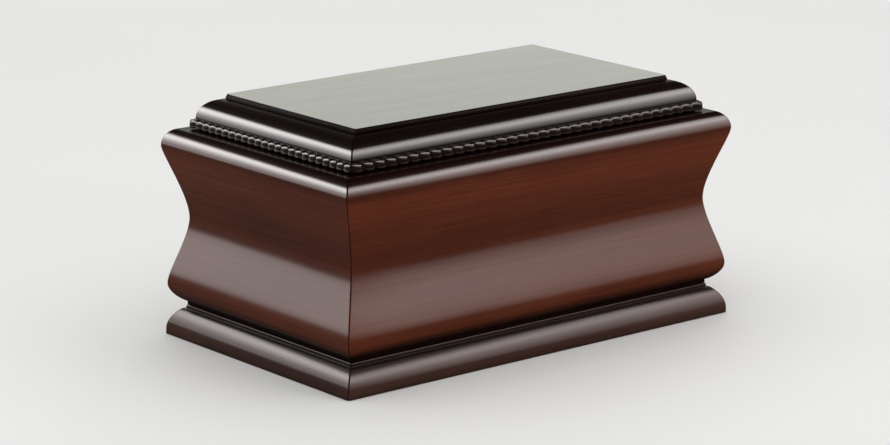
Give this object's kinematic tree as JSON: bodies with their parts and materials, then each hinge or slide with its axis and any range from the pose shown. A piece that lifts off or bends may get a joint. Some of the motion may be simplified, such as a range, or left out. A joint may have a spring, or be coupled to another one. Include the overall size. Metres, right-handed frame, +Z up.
{
  "type": "urn",
  "caption": "Rectangular wooden cremation urn: moulded base, coved walls and a lift-off lid with a rope moulding, an ovolo frame and a raised flat top.",
  "frame": {"origin": "middle of the underside, at the level the urn stands on", "axes": "+X along the long side, +Y from the front to the back, +Z up"},
  "size_m": [0.2932, 0.1796, 0.1471],
  "materials": {
    "base_wood": "dark mahogany stain under a satin-gloss lacquer",
    "wall_wood": "dark mahogany stain under a satin-gloss lacquer, with a fine level grain",
    "lid_wood": "dark mahogany stain under a satin-gloss lacquer",
    "rope_wood": "dark mahogany stain under a gloss lacquer, darker in the grooves",
    "board_wood": "dark mahogany stain under a satin-gloss lacquer, with a fine lengthwise grain"
  },
  "bodies": {
    "root": {"base_moulding_front": "base_wood", "base_moulding_back": "base_wood", "base_moulding_left": "base_wood", "base_moulding_right": "base_wood", "bottom_board": "board_wood", "wall_front": "wall_wood", "wall_back": "wall_wood", "wall_left": "wall_wood", "wall_right": "wall_wood", "lid_frame_front": "lid_wood", "lid_frame_back": "lid_wood", "lid_frame_left": "lid_wood", "lid_frame_right": "lid_wood", "rope_moulding_front": "rope_wood", "rope_moulding_back": "rope_wood", "rope_moulding_left": "rope_wood", "rope_moulding_right": "rope_wood", "lid_top_board": "board_wood"}
  },
  "joints": []
}
